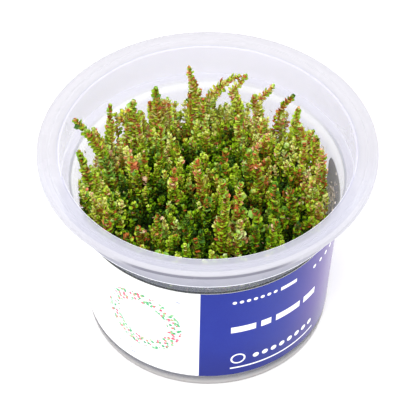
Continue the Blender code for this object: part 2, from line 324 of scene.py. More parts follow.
# The marks on the blue in millimetres: rules as left, right, low and high, and then rows of dots as
# left, level, pitch, size and count
RULES = [
    (22.3, 28.0, 38.9, 40.3), (7.0, 14.6, 25.4, 28.0), (16.4, 19.6, 25.4, 28.0), (21.4, 30.4, 25.4, 28.0),
    (32.2, 37.6, 25.4, 28.0), (7.0, 39.0, 7.6, 8.1),
]
DOT_ROWS = [(7.8, 39.7, 2.1, 1.15, 7), (15.2, 12.0, 3.1, 1.9, 8), (36.0, 39.0, 3.2, 1.3, 4)]


def wall_radius(at_height):
    """Outer radius of the cup's wall at a height, in millimetres."""
    return WALL_FOOT_RADIUS + (at_height - WALL_FOOT_HEIGHT) * WALL_DRAFT


def label_shape():
    """The strip round the wall, its ends rounded at the corners and its right end risen."""
    shape = bmesh.new()
    inner = LABEL_OFF
    outer = LABEL_OFF + LABEL_THICK
    middle = 0.5 * (LABEL_LOW + LABEL_HIGH)
    count = round((LABEL_TO - LABEL_FROM) / LABEL_STEP)
    rows = []
    for step in range(count + 1):
        turned_by = LABEL_FROM + (LABEL_TO - LABEL_FROM) * step / count
        turn = math.radians(turned_by)
        to_end = math.radians(min(turned_by - LABEL_FROM, LABEL_TO - turned_by)) * LABEL_RADIUS
        to_end = min(LABEL_CORNER, to_end)
        cut = LABEL_CORNER - math.sqrt(LABEL_CORNER ** 2 - (LABEL_CORNER - to_end) ** 2)
        high = LABEL_HIGH - cut + RISE * (max(0.0, turned_by - RISE_FROM) / (LABEL_TO - RISE_FROM)) ** 2
        low = LABEL_LOW + cut
        row = []
        for off, at_height in ((outer, low), (outer, middle), (outer, high),
                               (inner, high), (inner, middle), (inner, low)):
            far = (wall_radius(at_height) + off) * MM
            row.append(shape.verts.new((far * math.sin(turn), -far * math.cos(turn), at_height * MM)))
        rows.append(row)
    for near_row, far_row in zip(rows, rows[1:]):
        for k in range(6):
            following = (k + 1) % 6
            side = shape.faces.new((near_row[k], near_row[following], far_row[following], far_row[k]))
            side.material_index = 0 if k < 2 else 1
    for end in (rows[0], rows[-1]):
        shape.faces.new(end).material_index = 1
    return shape


def box_mask(across, up, left, right, low, high):
    """1 inside a rectangle on the label, in millimetres."""
    return (across.near(0.5 * (left + right) * MM, 0.5 * (right - left) * MM, PRINT_EDGE * MM)
            * up.near(0.5 * (low + high) * MM, 0.5 * (high - low) * MM, PRINT_EDGE * MM))


def span_from(across, up, left, level):
    """How far a place on the label is from a point on it."""
    squares = (across - left * MM) * (across - left * MM) + (up - level * MM) * (up - level * MM)
    return squares.sum_of("SQRT", squares)


def dot_row(across, up, left, level, pitch, size, count):
    """1 inside each of a row of round dots."""
    start = across - (left - 0.5 * pitch) * MM
    within = start.sum_of("FLOORED_MODULO", start, pitch * MM)
    edge = 0.5 * size * MM
    dots = 1.0 - span_from(within, up, 0.5 * pitch, level).rising(edge, edge + PRINT_EDGE * MM)
    right = left + (count - 0.5) * pitch
    return dots * box_mask(across, up, left - 0.5 * pitch, right, level - size, level + size)


printed, shader, place = finish("printed_paper", IOR=1.4, Specular_IOR_Level=0.15, Coat_Roughness=0.08)
x, y, up = (place.node("ShaderNodeSeparateXYZ", {}, {0: place}, out=k) for k in range(3))
across = x.sum_of("ARCTAN2", x, 0.0 - y) * (LABEL_RADIUS * MM)
grain = place.noise(2600.0, 2.0)
mottle = place.noise(180.0, 3.0)
blue = (across - up * BLUE_LEAN).rising((BLUE_FROM - 0.1) * MM, (BLUE_FROM + 0.1) * MM)

marks = span_from(across, up, 9.4, 12.2).near(2.1 * MM, 0.22 * MM, PRINT_EDGE * MM)
for rule in RULES:
    marks = marks.most(box_mask(across, up, *rule))
for row in DOT_ROWS:
    marks = marks.most(dot_row(across, up, *row))

wreath = span_from(across, up, -20.5, 26.0).near(10.5 * MM, 1.8 * MM, 0.9 * MM)
cells, which = (place.node("ShaderNodeTexVoronoi", {}, {"Vector": place, "Scale": SPOTS_TO_METRE}, out=k)
                for k in range(2))
spots = 1.0 - cells.rising(0.42, 0.56)
pick = which.node("ShaderNodeSeparateColor", {}, {0: which}, out=0)
greens_and_reds = pick.node("ShaderNodeValToRGB", {"stops": [
    (0.0, (0.02, 0.30, 0.10)), (0.35, (0.10, 0.46, 0.20)), (0.62, (0.30, 0.56, 0.24)),
    (0.72, (0.78, 0.05, 0.12)), (1.0, (0.86, 0.18, 0.24))]}, {0: pick})

swell = up + place.noise(160.0, 2.0) * (2.4 * MM)
ripple = swell.sum_of("FLOORED_MODULO", swell, 2.0 * MM)
broken = place.noise(420.0, 3.0, (1.0, 1.0, 3.0)).rising(0.44, 0.60)
waves = ripple.near(1.0 * MM, 0.1 * MM, 0.5 * MM) * broken
ponds = 1.0 - span_from(across * 0.45, up, -12.0, 9.2).rising(1.6 * MM, 3.4 * MM)
ponds = ponds.most(1.0 - span_from(across * 0.45, up, -4.2, 39.5).rising(0.8 * MM, 2.0 * MM))
white = (waves * ponds * 0.8).blend((0.93, 0.93, 0.93), (0.16, 0.21, 0.45))
white = (spots * wreath).blend(white, greens_and_reds)

ink_and_sheen = (grain * 0.6 + mottle * 0.4).blend((0.001, 0.008, 0.205), (0.004, 0.026, 0.300))
# A violet cast towards the label's right end, where the wall turns away: painted sheen
ink_and_sheen = across.rising(20.0 * MM, 52.0 * MM).blend(ink_and_sheen, (0.082, 0.018, 0.24))
# The blue darker towards the bottom
ink_and_sheen = ((1.0 - up.rising(2.0 * MM, 24.0 * MM)) * 0.6).blend(ink_and_sheen, (0.002, 0.007, 0.14))
ink_and_sheen = marks.blend(ink_and_sheen, (0.93, 0.93, 0.94))
blue.blend(white, ink_and_sheen).into(shader, "Base Color")

grazing = place.node("ShaderNodeLayerWeight", {}, {"Blend": 0.5}, out=1)
gloss = grazing.rising(0.30, 0.50) * 0.18 + grazing.rising(0.55, 0.70) * 0.10
(gloss + grazing.rising(0.68, 0.86) * 0.24 + 0.12).into(shader, "Coat Weight")
(grain * 0.10 + 0.30).into(shader, "Roughness")
(grain * 0.3 + mottle).bumps(shader, 0.03 * MM, 0.4)

# A faint glow is painted on the paper's back, standing in for daylight that comes through the paper a little
paper, shader, place = finish("paper_back", Emission_Color=(1.0, 0.99, 0.92, 1.0), Emission_Strength=0.17)
fibres = place.noise(900.0, 4.0)
fibres.blend((0.60, 0.61, 0.54), (0.74, 0.74, 0.66)).into(shader, "Base Color")
(fibres * 0.2 + 0.6).into(shader, "Roughness")
label = piece_of("label_strip", label_shape(), printed, paper)
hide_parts("label")


# The gel: nutrient jelly poured warm into the cup and set there, cloudy and beige, with a low skirt
# where it creeps up the wall.

GEL_LOW = 2.5
GEL_TOP = 18.0
GEL_OFF = 1.2
GEL_CREEP = 0.7
GEL_AROUND = 96
GEL_SECTION = [
    (0.0, GEL_LOW, 0.0), (wall_radius(GEL_LOW) - GEL_OFF, GEL_LOW, 0.9),
    (wall_radius(GEL_TOP) - GEL_OFF, GEL_TOP, 0.15),
    (wall_radius(GEL_TOP) - GEL_OFF - 1.6, GEL_TOP - GEL_CREEP, 0.9), (0.0, GEL_TOP - GEL_CREEP, 0.0),
]

jelly, shader, place = finish("set_gel", IOR=1.35)
cloud = place.noise(110.0, 4.0)
specks = place.noise(900.0, 2.0).rising(0.66, 0.74)
tone = cloud.blend((0.66, 0.62, 0.57), (0.80, 0.76, 0.72))
(specks * 0.5).blend(tone, (0.40, 0.33, 0.20)).into(shader, "Base Color")
(cloud * 0.15 + 0.18).into(shader, "Roughness")
cloud.bumps(shader, 0.3 * MM, 0.4)
gel = piece_of("gel_bed", turned(softened(GEL_SECTION), GEL_AROUND), jelly)
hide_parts("gel")


# The roots: pale threads that grow down from the plantlets between the gel and the wall, and short
# bits of root and husk that cling to the wall above the label, half of them in one nest at the right.

ROOTS = 64
ROOT_THICK = 0.17
ROOT_FROM = 15.0
ROOT_TO = 4.0
CLINGING = 150
CLING_TURN = 28.0
CLING_SPREAD = 26.0
CLING_OFF = 0.28
CLING_LOW = 45.0
CLING_HIGH = 50.6
NEST_TURN = 92.0
NEST_LOW = 38.0
NEST_HIGH = 45.5
NEST_DEEP = 2.2


def tube(shape, points, thickness, sides=5):
    """A closed round thread along points in millimetres, thinner towards its end."""
    rings = []
    for k, point in enumerate(points):
        ahead = (points[min(k + 1, len(points) - 1)] - points[max(k - 1, 0)]).normalized()
        side = ahead.orthogonal().normalized()
        other = ahead.cross(side)
        girth = thickness * (1.0 - 0.6 * k / len(points))
        rings.append([shape.verts.new((point + girth * (side * math.cos(FULL_TURN * j / sides)
                                                        + other * math.sin(FULL_TURN * j / sides))) * MM)
                      for j in range(sides)])
    for low, high in zip(rings, rings[1:]):
        offset = min(range(sides), key=lambda j: (low[0].co - high[j].co).length)
        for j in range(sides):
            shape.faces.new((low[j], low[(j + 1) % sides],
                             high[(j + 1 + offset) % sides], high[(j + offset) % sides]))
    shape.faces.new(rings[0])
    shape.faces.new(rings[-1])


def root_shape():
    """The threads down the gel's side, then the bits that cling to the wall."""
    chance = random.Random(3)
    shape = bmesh.new()
    for _ in range(ROOTS):
        turn = chance.uniform(0.0, FULL_TURN)
        level = chance.uniform(ROOT_FROM, ROOT_FROM + 6.0)
        drift = chance.uniform(-0.02, 0.02)
        points = []
        while level > ROOT_TO and len(points) < chance.randint(9, 26):
            far = wall_radius(level) - GEL_OFF + 0.02
            points.append(Vector((far * math.sin(turn), -far * math.cos(turn), level)))
            drift += chance.uniform(-0.012, 0.012)
            turn += drift
            level -= chance.uniform(0.3, 0.9)
        if len(points) > 3:
            tube(shape, points, ROOT_THICK)
    for k in range(CLINGING):
        if k % 3:
            turn = math.radians(chance.gauss(CLING_TURN, CLING_SPREAD))
        else:
            turn = chance.uniform(0.0, FULL_TURN)
        level = chance.uniform(CLING_LOW, CLING_HIGH)
        inward = CLING_OFF
        if k % 2 == 0:
            turn = math.radians(chance.gauss(NEST_TURN, 4.0))
            level = chance.uniform(NEST_LOW, NEST_HIGH)
            inward = chance.uniform(CLING_OFF, NEST_DEEP)
        heading = chance.uniform(0.0, FULL_TURN)
        points = []
        for _ in range(chance.randint(4, 8)):
            far = wall_radius(level) - WALL - inward
            points.append(Vector((far * math.sin(turn), -far * math.cos(turn), level)))
            heading += chance.uniform(-0.8, 0.8)
            turn += 0.3 * math.cos(heading) / far
            level += 0.3 * math.sin(heading)
        tube(shape, points, chance.uniform(0.12, 0.26))
    return shape


thread, shader, place = finish("root_thread", Roughness=0.45)
tint = place.noise(300.0, 3.0)
tint.blend((0.62, 0.52, 0.40), (0.86, 0.80, 0.72)).into(shader, "Base Color")
roots = piece_of("roots", root_shape(), thread)


# The matted stems: inside the mat the plantlets' bare lower stems pack into one tangle, which stands on the
# gel and is hardly lit; its near-black colour is painted shade.

TANGLE_RADIUS = 33.2
TANGLE_LOW = GEL_TOP - 0.2
TANGLE_HIGH = 41.0
TANGLE_AROUND = 150
RIDGE = 0.7


def tangle_shape():
    """A block of stems a little wider towards its top, ridged down its side."""
    chance = random.Random(5)
    outline = [(0.0, TANGLE_LOW)]
    outline += [(TANGLE_RADIUS - 1.0 + 0.05 * level, TANGLE_LOW + level) for level in range(23)]
    outline += [(TANGLE_RADIUS - 0.6 - 1.4 * k, TANGLE_HIGH) for k in range(23)]
    outline += [(0.0, TANGLE_HIGH)]
    shape = turned(outline, TANGLE_AROUND)
    for vertex in shape.verts:
        spot = vertex.co
        if spot.z > (GEL_TOP + 0.5) * MM:
            turn = math.atan2(spot.y, spot.x)
            ridge = math.sin(turn * 61.0 + 2.0 * math.sin(spot.z * 300.0)) * math.sin(turn * 23.0)
            shift = (RIDGE * ridge + chance.uniform(-0.4, 0.4)) * MM
            vertex.co.x += shift * math.cos(turn)
            vertex.co.y += shift * math.sin(turn)
            vertex.co.z += chance.uniform(-1.2, 0.2) * MM if spot.z > (TANGLE_HIGH - 1.0) * MM else 0.0
    return shape


matted, shader, place = finish("matted_stems", Roughness=0.8)
fibre = place.noise(1400.0, 3.0, (1.0, 1.0, 0.22))
patch = place.noise(260.0, 3.0)
# The stems' green and brown, darkened almost to black: painted shade
dark = fibre.rising(0.38, 0.66).blend((0.006, 0.014, 0.002), (0.050, 0.080, 0.012))
(patch.rising(0.55, 0.75) * 0.7).blend(dark, (0.060, 0.032, 0.012)).into(shader, "Base Color")
fibre.bumps(shader, 0.5 * MM)
tangle = piece_of("matted_stems", tangle_shape(), matted)


# The plantlets: rotala in vitro, a dense stand of upright shoots, each a thin rusty stem with crossed
# pairs of tiny round cupped leaves and buds between them, yellow-green with rusty or rosy tints. Each
# grows where its CAD solid stands: the solid's spikes give its tall shoots, shorter ones fill the mat.

MAT_RADIUS = 37.4
MAT_TAPER = 0.96
BARE_RIGHT = 3.2
BARE_LEFT = 1.6
LEDGE_ROOM = 1.5
WALL_GAP = 0.08
SPIKE_SIDES = 5
SPIKE_TIP = 0.8
SHOULDER_AT = 0.72
SHOULDER_SHIFT = SHOULDER_AT ** 1.3
SWAY_LOW = 0.35
SWAY_HIGH = 0.3
TALL_FROM = 57.0
BACK_FROM = 18.0
FAR_BACK = 26.0
COMPANION_OFF = 1.35
FILL_SPACING = 1.8
FILL_TRIES = 24000
FILL_HIGH = 51.5
FILL_LOW = 41.0
FILL_FOOT = 40.0
FILL_LEAN = 0.3
DOME_FROM = 24.0
DOME_SLOPE = 0.5
BACK_SLOPE = 0.2
STEM_THICK = 0.17
LEAF_LONG = 1.3
LEAF_SPACING = 0.9
TALL_LEAF_SPACING = 0.62
TALL_SIZE = 1.12
LEAFY_TALL = 15.0
LEAFY_FILL = 9.0
LEAFY_AT_WALL = 32.0
AT_WALL = 35.2
WALL_SHOWS_FROM = 8.0
AWAY_FROM_WALL = 33.0
BROAD_SHARE = 0.03
PALE_SHARE = 0.012
BLOOM_SHARE = 0.06
LEAF_LIGHT = 0.665
# How much a shoot's leaves are painted darker for each millimetre it stands in a dip and lighter for each
# millimetre of a swell, less for tall shoots and those far back: painted shade and light
DIM_TALL = 0.02
DIM_DIP = 0.08
DIM_SWELL = 0.05

# Shoots that bend where they stand out of the mat, as points in millimetres up to the tip
BENT = [
    [(-1.5, 30, 48), (-0.4, 30, 53.7), (1.6, 30, 56.2), (3.4, 30, 59.2), (5.5, 30, 62.1), (7.2, 30, 64),
     (9.2, 30, 64.8)],
    [(9, 30, 48), (8.6, 30, 52.8), (7.5, 30, 58.3), (8.9, 30, 60.8), (10.4, 30, 63.0), (11.2, 30, 64.8)],
    [(14.8, 28, 48), (15, 28, 53.5), (15.9, 28, 56.9), (17.2, 28, 59.4), (19.4, 28, 62.2)],
    [(21.2, 24, 48), (21.6, 24, 52.3), (21.9, 24, 56.1), (23.3, 24, 59.1), (25.4, 24, 62)],
    [(28.2, 15, 47), (27.8, 15, 52.7), (26.7, 15, 57), (26.3, 15, 61.2), (26.9, 15, 65.8)],
    [(-23.1, 18, 48), (-22.8, 18, 57), (-22.7, 18, 62.4), (-22.1, 18, 65.9)],
    [(-31, 9, 48), (-32, 9, 53), (-34, 9, 58), (-36.8, 9, 63.4), (-38.8, 9, 66.8)],
    [(-29.4, 12, 47), (-31.1, 12, 53.2), (-32.4, 12, 57), (-33.9, 12, 60.1)],
]

# Side shoots and close neighbours of tall shoots that have no solid of their own
BESIDE = [
    [(-22.7, 18, 61), (-24.1, 18, 62.3), (-25.2, 18, 61.2), (-25.9, 18, 59.5), (-26.3, 18, 58.2)],
    [(14.7, 28, 52.5), (14, 28, 55.6), (14.2, 28, 58.3)],
    [(-29.8, 9, 47), (-31.2, 9, 54), (-33.5, 9, 58.4), (-35.3, 9, 61.5)],
    [(-14.2, 24, 47), (-13.4, 24, 56.5), (-13.3, 24, 60)],
    [(-16.6, 23, 47), (-17.2, 23, 56.7), (-17.4, 23, 60.2)],
    [(-3.4, 26.5, 49), (-3.6, 26, 56), (-2.6, 26, 62.5)],
    [(-27.2, 23, 46), (-27.5, 23, 51), (-27.6, 22.5, 56.5)],
    [(-37.6, -4, 44.5), (-37.9, -2, 47.5), (-38, 0.2, 50.2)],
]

# Where the stand dips between its clumps, or swells, as x, y, reach and depth in millimetres; leaves are
# painted darker in the dips and lighter on the swells
DIPS = [
    (-17.5, 10, 3.5, 9), (-14.3, -3, 3.4, 7), (-15, -12, 3.8, 9), (-25, -0.5, 2.8, 7),
    (-22.3, -7.5, 3.4, 7), (-21.5, -17, 3.0, 7), (-1, -16, 3.4, 9), (-2.4, -26, 3.6, 10),
    (-7, -9, 2.8, 7), (12.3, 2, 3.0, 5), (12.5, -10, 3.4, 8), (7.3, 12, 3.4, 8), (-8.2, 20, 3.0, 7),
    (-2.5, 10.5, 3.0, 6), (-7.6, -19.5, 2.8, 7), (22, 2.5, 3.0, 4), (21.8, -13.5, 3.8, 10),
    (28.5, -20.5, 3.8, 10), (17.5, -23.5, 2.8, 5), (13.5, -25, 2.8, 6), (-23.5, -24.5, 3.5, 9),
    (-18, -15, 3.2, 7), (-8.2, 10, 3.8, 10), (6.6, 22.5, 3.4, 7), (25, -25, 3.0, 7),
    (1, 10.5, 2.2, 3), (-12.5, -28, 3.2, 7), (-15.7, 4.5, 2.6, 4), (8.5, -3, 3.2, 6),
    (3.8, 16.5, 3.0, 6), (4.5, 5.5, 2.6, 6), (-3.6, -4, 2.8, 7), (21.5, -4.8, 3.2, 8),
    (5.8, -31, 2.2, 5), (-4, -30.5, 2.0, 4), (-34.8, 6, 2.2, 4), (-1.6, -23.5, 2.6, 6),
    (-29.5, -1.5, 3.2, -5), (-31.5, -11.5, 3.4, -4), (-11.5, 2, 2.5, -4), (6.9, -20, 3.2, -9),
    (-1, 3.5, 2.2, -2), (-21.7, 9, 3.0, -5), (-31.3, 12.5, 4.0, -4.5), (27, 9.5, 4.0, -3),
    (-20.3, 1, 2.4, -4), (-25.5, -6.5, 2.2, 3), (-26.8, -10.5, 2.4, -4), (32.4, 3, 4.5, -5),
    (30, 16, 3.5, -4), (-13, 14, 2.5, -3), (-11.3, -18, 2.6, -5), (10.8, -23, 2.2, -3),
    (33.8, -9, 3.5, -4), (-22.4, 20.6, 3.0, -4), (15.5, 24.5, 3.0, -4), (-12.5, 24, 2.6, -4),
    (5, 30, 4.0, -3), (-8.8, -31, 2.3, -4), (1, -31, 1.8, -3), (-18, -22, 2.0, -3),
    (-4.6, -11, 2.2, -3), (-22.8, 27, 2.4, 4), (20.8, 28, 2.6, 8), (-13, 30.5, 2.2, 5),
    (28.5, 23, 3.0, 3), (-27.5, 25, 2.5, 2),
]

# Where the stand turns rosy, as x, y, reach in millimetres and strength
ROSY = [
    (-0.5, -1, 4, 0.7), (15.5, 0.5, 3.5, 0.9), (16, 10, 4.0, 0.9), (29.3, 0, 4, 0.7),
    (32, -10, 5, 0.5), (-32.5, -12.5, 5, 0.4), (30, 7, 5, 0.4), (17, -6, 3.5, 0.5),
    (-20.8, 4.3, 4, 0.5), (12.6, 23, 5, 0.4), (8, -7.5, 3.5, 0.5), (21.5, 28, 5, 0.8),
    (-30, 9, 5, 0.4), (-15, 23, 4, 0.5), (-4, 27, 5, 0.3), (6, -21.5, 3.6, 0.9),
    (-18.5, -24.5, 4, 0.6), (-26, 28, 5, 0.6), (26, -17, 4, 0.3),
]

# One leaf, along, across and up: its rim, then the middle of its upper and of its lower side
LEAF_RIM = [(0.0, 0.0, 0.0), (0.38, 0.50, 0.10), (0.92, 0.34, 0.24), (0.92, -0.34, 0.24), (0.38, -0.50, 0.10)]
LEAF = np.array(LEAF_RIM + [(0.50, 0.0, 0.04), (0.50, 0.0, -0.14)])
LEAF_FACES = np.array([(k, (k + 1) % 5, 5) for k in range(5)] + [((k + 1) % 5, k, 6) for k in range(5)])
# How far each point of a leaf is towards its rim, which the finish uses to redden the rim and to paint it
# lighter as a highlight
LEAF_EDGE = np.array([1.0] * 5 + [0.0, 0.6])
LEAF_RED = np.array([0.58, 0.06, 0.07, 0.07, 0.06, 0.0, 0.30])

# The leaves at one height of a stem: turn round it, share grown, size, angle up in degrees, and rust
LEAF_KINDS = [
    (0.0, 0.96, 1.0, 24.0, 0.0), (0.5, 0.96, 1.0, 24.0, 0.0),
    (0.22, 0.55, 0.66, 52.0, 0.12), (0.72, 0.55, 0.66, 52.0, 0.12), (0.36, 0.35, 0.55, 38.0, 0.2),
]


class Growth:
    """The mesh of one plantlet while it grows: points, faces, and a tone for each point."""

    def __init__(self):
        self.points = []
        self.faces = []
        self.tones = []
        self.count = 0

    def add(self, points, faces, tones):
        self.points.append(points)
        self.faces.append(faces + self.count)
        self.tones.append(tones)
        self.count += len(points)

    def leaves(self, feet, stem, outward, long, wide, lift, red, light, bloom):
        """One leaf for each row, at a foot on a stem: lift is its angle up from square to the stem."""
        along = outward * np.cos(lift)[:, None] + stem * np.sin(lift)[:, None]
        over = stem * np.cos(lift)[:, None] - outward * np.sin(lift)[:, None]
        beside = np.cross(stem, outward) * wide[:, None]
        frames = np.stack([along, beside, over], axis=1) * long[:, None, None]
        points = feet[:, None, :] + LEAF @ frames
        tones = np.empty((len(feet), len(LEAF), 4))
        tones[:, :, 0] = np.clip(red[:, None] + LEAF_RED, 0.0, 1.0)
        tones[:, :, 1] = light[:, None]
        tones[:, :, 2] = LEAF_EDGE
        tones[:, :, 3] = bloom[:, None]
        faces = LEAF_FACES + len(LEAF) * np.arange(len(feet))[:, None, None]
        self.add(points.reshape(-1, 3), faces.reshape(-1, 3), tones.reshape(-1, 4))

    def stem(self, path, thickness, red, light):
        """A four-sided stem along a path that narrows to its tip."""
        headings = np.gradient(path, axis=0)
        headings /= np.linalg.norm(headings, axis=1)[:, None]
        side = np.cross(headings, (0.0, 1.0, 0.13))
        side /= np.linalg.norm(side, axis=1)[:, None]
        other = np.cross(headings, side)
        girth = thickness * np.linspace(1.0, 0.4, len(path))[:, None]
        rings = np.stack([path + girth * side, path + girth * other,
                          path - girth * side, path - girth * other], axis=1)
        points = np.vstack([rings.reshape(-1, 3), path[-1] + headings[-1] * thickness * 0.3, path[0]])
        last = 4 * (len(path) - 1)
        faces = []
        for low in range(0, last, 4):
            for k in range(4):
                a, b = low + k, low + (k + 1) % 4
                faces += [(a, b, b + 4), (a, b + 4, a + 4)]
        for k in range(4):
            faces += [(last + k, last + (k + 1) % 4, last + 4), ((k + 1) % 4, k, last + 5)]
        self.add(points, np.array(faces), np.tile((red, light, 0.5, 0.0), (len(points), 1)))

    def mesh(self, name):
        """The grown mesh in metres, with nothing of it beyond the inside of the cup's wall."""
        points = np.vstack(self.points)
        far = np.hypot(points[:, 0], points[:, 1])
        room = wall_radius(points[:, 2]) - WALL - WALL_GAP
        outside = (points[:, 2] < LEDGE_LEVEL) & (far > room)
        squeezed = np.where(outside, room / np.maximum(far, 1.0), 1.0)
        points[:, :2] *= squeezed[:, None]
        made = bpy.data.meshes.new(name)
        made.from_pydata((points * MM).tolist(), [], np.vstack(self.faces).tolist())
        tone = made.color_attributes.new(name="tone", type="FLOAT_COLOR", domain="POINT")
        tone.data.foreach_set("color", np.vstack(self.tones).ravel())
        made.shade_smooth()
        return made


def even_path(points, step):
    """A smooth path through points in millimetres, with a point every step."""
    points = np.array(points, dtype=float)
    padded = np.vstack([2 * points[0] - points[1], points, 2 * points[-1] - points[-2]])
    fine = []
    for k in range(len(points) - 1):
        p0, p1, p2, p3 = padded[k:k + 4]
        for share in np.linspace(0.0, 1.0, 12, endpoint=False):
            fine.append(0.5 * (2 * p1 + (p2 - p0) * share + (2 * p0 - 5 * p1 + 4 * p2 - p3) * share ** 2
                               + (3 * p1 - p0 - 3 * p2 + p3) * share ** 3))
    fine.append(points[-1])
    fine = np.array(fine)
    gone = lengths_along(fine)
    return on_path(fine, gone, np.linspace(0.0, gone[-1], max(3, round(gone[-1] / step) + 1)))


def lengths_along(path):
    """How far along a path each of its points is."""
    return np.concatenate([[0.0], np.cumsum(np.linalg.norm(np.diff(path, axis=0), axis=1))])


def on_path(path, gone, at):
    """The points of a path at lengths along it."""
    return np.stack([np.interp(at, gone, path[:, axis]) for axis in range(3)], axis=1)


def swells_at(spot, swells):
    """The sum at a place of round swells, each with its x, y, reach and height."""
    return sum(height * math.exp(-((spot[0] - x) ** 2 + (spot[1] - y) ** 2) / reach ** 2)
               for x, y, reach, height in swells)


def grow_shoot(growth, points, chance, leafy, shade):
    """A shoot along points: its stem, and from the tip down crossed pairs of leaves with buds between."""
    path = even_path(points, 1.3)
    gone = lengths_along(path)
    tip = path[-1]
    rosy = swells_at(tip, ROSY)

    # A tall shoot is rustier, more even in tone and more closely leaved than one of the mat
    tall = leafy == LEAFY_TALL
    at_back = tip[1] > BACK_FROM
    red = max(0.0, chance.normal(0.0, 0.06)) + 0.25 * rosy
    blushing = 0.03 + (0.20 if tall else 0.0) + 0.7 * rosy * chance.random()
    # Painted shade and light: a shoot's leaves are darker further down it, less so for a tall shoot, one at
    # the back or one on a swell; the shoot is lighter towards the back and darker in a dip
    shade_with_depth = 0.12 if tall else 0.25 if at_back or shade < -0.1 else 0.48
    level = chance.normal(LEAF_LIGHT, 0.06 if tall or at_back else 0.11) + 0.003 * tip[1] - shade
    light = min(0.95, max(0.06, level))
    bloom = 0.6 if chance.random() < BLOOM_SHARE else 0.0
    size = chance.uniform(0.86, 1.14) * (TALL_SIZE if tall else 1.0)
    growth.stem(path, STEM_THICK * size, 0.8 if tall else 0.4, 0.7 * light)

    # How far down from the tip each set of leaves stands: closer where it is young
    down = [0.08]
    spacing = TALL_LEAF_SPACING if tall else LEAF_SPACING
    while down[-1] < min(leafy, gone[-1] - 0.5):
        pitch = spacing * size * (1.0 - 0.6 * math.exp(-down[-1] / 0.9))
        down.append(down[-1] + pitch * chance.uniform(0.85, 1.15))
    down = np.array(down)
    count = len(down)
    foot = on_path(path, gone, gone[-1] - down)
    stem = on_path(path, gone, gone[-1] - down + 0.4) - on_path(path, gone, gone[-1] - down - 0.4)
    stem /= np.linalg.norm(stem, axis=1)[:, None]
    side = np.cross(stem, (0.3, 0.9, 0.31))
    side /= np.linalg.norm(side, axis=1)[:, None]
    other = np.cross(stem, side)
    young = np.exp(-down / 0.8)
    deep = np.minimum(1.0, down / min(leafy, LEAFY_TALL))
    grown = 1.0 - (0.25 if tall else 0.45) * young
    likely = blushing * (np.exp(-down / 8.0) if tall else 1.0)
    turn = chance.uniform(0.0, FULL_TURN) + 0.5 * math.pi * np.arange(count) + chance.normal(0.0, 0.12, count)

    for around, share, scale, rise, blush in LEAF_KINDS:
        kept = chance.random(count) < share - 0.25 * deep + (0.15 if tall else 0.0)
        broad = chance.random(count) < BROAD_SHARE
        pale = chance.random(count) < PALE_SHARE
        bearing = turn + FULL_TURN * around + chance.normal(0.0, 0.22, count)
        outward = side * np.cos(bearing)[:, None] + other * np.sin(bearing)[:, None]
        long = LEAF_LONG * size * scale * grown * chance.uniform(0.78, 1.18, count)
        long = np.where(broad, long * 1.4, long)
        lift = np.radians(rise + (72.0 - rise) * young - 16.0 * deep + chance.normal(0.0, 13.0, count))
        tinted = np.where(chance.random(count) < likely, chance.uniform(0.4, 0.9, count), 0.0)
        reds = red + blush + tinted - (0.1 if tall else 0.3) * young + chance.normal(0.0, 0.06, count)
        # Darker further down the shoot: painted shade
        lights = light + chance.normal(0.0, 0.13, count) - shade_with_depth * deep
        lights += -0.22 * np.exp(-down / 6.0) if tall else 0.06 * young
        blooms = np.where(broad, 0.9, np.maximum(bloom, 0.7 * young if tall else 0.0))
        growth.leaves(foot[kept] + 0.1 * outward[kept], stem[kept], outward[kept], long[kept],
                      chance.uniform(0.85, 1.15, count)[kept], lift[kept],
                      np.where(pale, 0.5, np.clip(reds, 0.0, 1.0))[kept],
                      np.where(pale, 1.0, np.clip(lights, 0.0, 0.9))[kept], blooms[kept])


def spikes(node):
    """Where the shoots of a plantlet's CAD solid stand, in millimetres: each one's foot, shoulder and tip."""
    levels = {}
    for spot in {tuple(round(1000.0 * c, 2) for c in vertex.co) for vertex in node.data.vertices}:
        levels.setdefault(spot[2], []).append(np.array(spot))
    heights = sorted(levels)
    crown = heights[1]
    shoulders = []
    tips = []
    for level in heights[2:]:
        left = levels[level]
        while len(left) >= SPIKE_SIDES:
            left = sorted(left, key=lambda spot: np.linalg.norm(spot - left[0]))
            centre = np.mean(left[:SPIKE_SIDES], axis=0)
            ends = tips if np.linalg.norm(left[0] - centre) < SPIKE_TIP else shoulders
            ends.append(centre)
            left = left[SPIKE_SIDES:]
    found = []
    for tip in tips:
        level = crown + SHOULDER_AT * (tip[2] - crown)
        shoulder = min(shoulders, key=lambda spot: abs(spot[2] - level) * 20.0 + np.linalg.norm(spot - tip))
        foot = (shoulder - SHOULDER_SHIFT * tip) / (1.0 - SHOULDER_SHIFT)
        foot[2] = crown
        found.append((foot, shoulder, tip))
    return found


def sunk(foot, shoulder, tip):
    """The foot, shoulder and tip of a shoot, lower where the stand dips unless it is a tall one."""
    if tip[2] < TALL_FROM:
        drop = min(0.5 * max(0.0, dip_at(tip)), 0.5 * (tip[2] - foot[2]))
        shoulder[2] -= SHOULDER_AT * drop
        tip[2] -= drop
    return foot, shoulder, tip


def edge_at(spot):
    """How far from the axis the stand reaches on the side of a place: less at its right and left."""
    turn = math.atan2(spot[1], spot[0])
    right = math.exp(-((turn - 0.2) / 0.38) ** 4)
    left = math.exp(-((abs(turn) - 2.9) / 0.35) ** 2) if spot[1] > 0.0 else 0.0
    return MAT_RADIUS - BARE_RIGHT * right - BARE_LEFT * left


def kept_in(point):
    """A point of a shoot drawn in to the edge of the stand."""
    room = edge_at(point) + (LEDGE_ROOM if point[2] > LEDGE_LEVEL else 0.0)
    far = math.hypot(point[0], point[1])
    return np.array([point[0] * room / far, point[1] * room / far, point[2]]) if far > room else point


